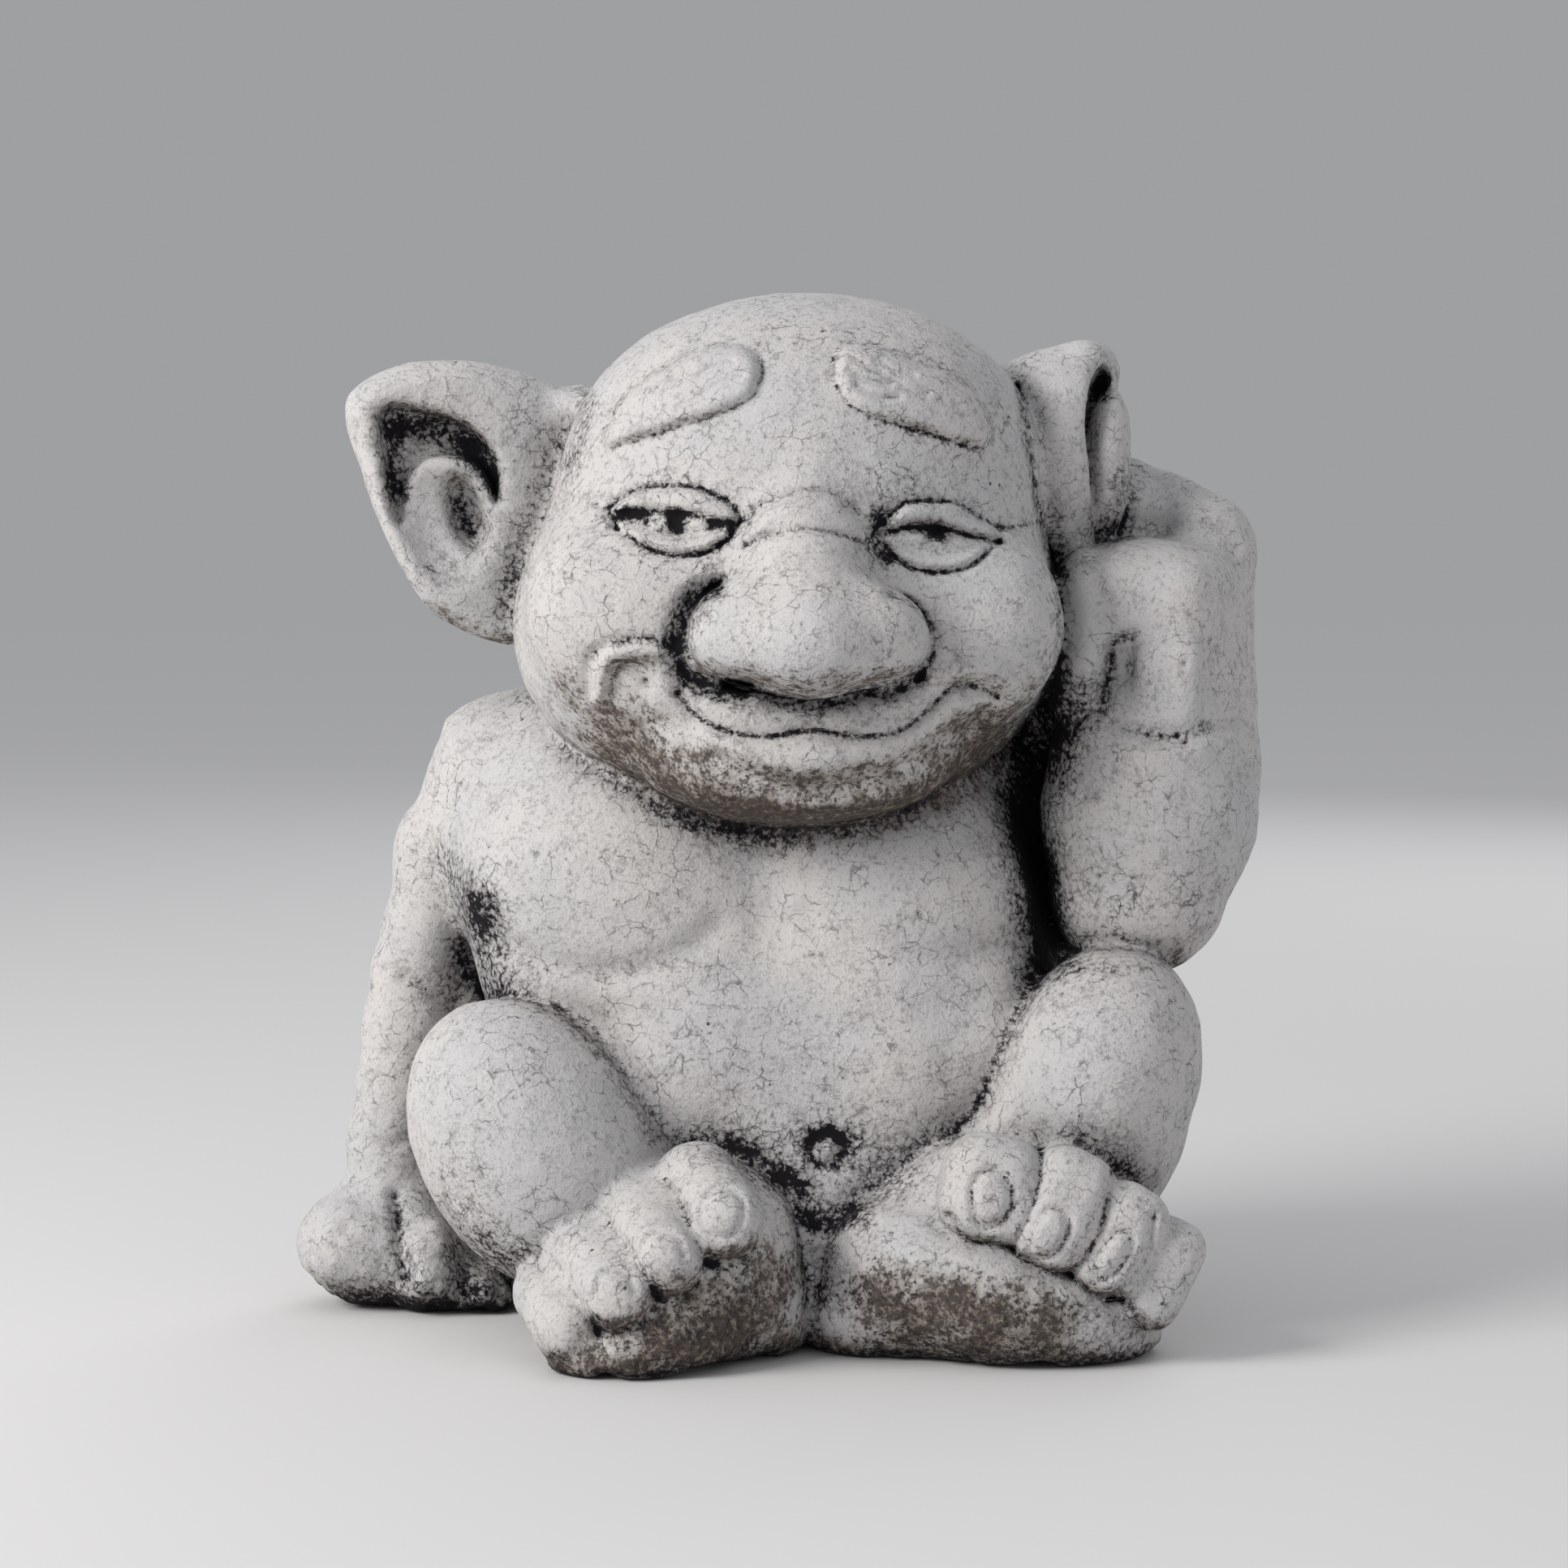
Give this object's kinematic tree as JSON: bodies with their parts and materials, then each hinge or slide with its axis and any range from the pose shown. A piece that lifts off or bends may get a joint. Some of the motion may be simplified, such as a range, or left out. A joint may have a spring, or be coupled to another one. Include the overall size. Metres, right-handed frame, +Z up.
{
  "type": "garden gnome",
  "caption": "Cast-stone garden troll sitting cross-legged, one hand cupped behind a big pointed ear, the other arm leaning on the ground; flat base.",
  "frame": {"origin": "on the ground plane, under the middle of the seat, on the flat underside of the base", "axes": "+Z up, the figure faces -Y, the figure's own left side (the hand raised to the ear) is at +X"},
  "size_m": [0.215, 0.159, 0.2266],
  "materials": {
    "white_cast_stone": "matt, weathered, fine crazing with dark dirt in the recesses",
    "lean_concrete": "rough grey cast concrete",
    "screed_mortar": "trowelled mortar",
    "reinforcing_steel": "plain drawn wire with a light rust bloom"
  },
  "bodies": {
    "root": {"facing_shell": "white_cast_stone", "core_fill": "lean_concrete", "base_screed": "screed_mortar", "spine_rod": "reinforcing_steel", "leaning_arm_wire": "reinforcing_steel", "raised_arm_wire": "reinforcing_steel", "right_ear_wire": "reinforcing_steel", "left_ear_wire": "reinforcing_steel", "tie_wires": "reinforcing_steel"}
  },
  "joints": []
}
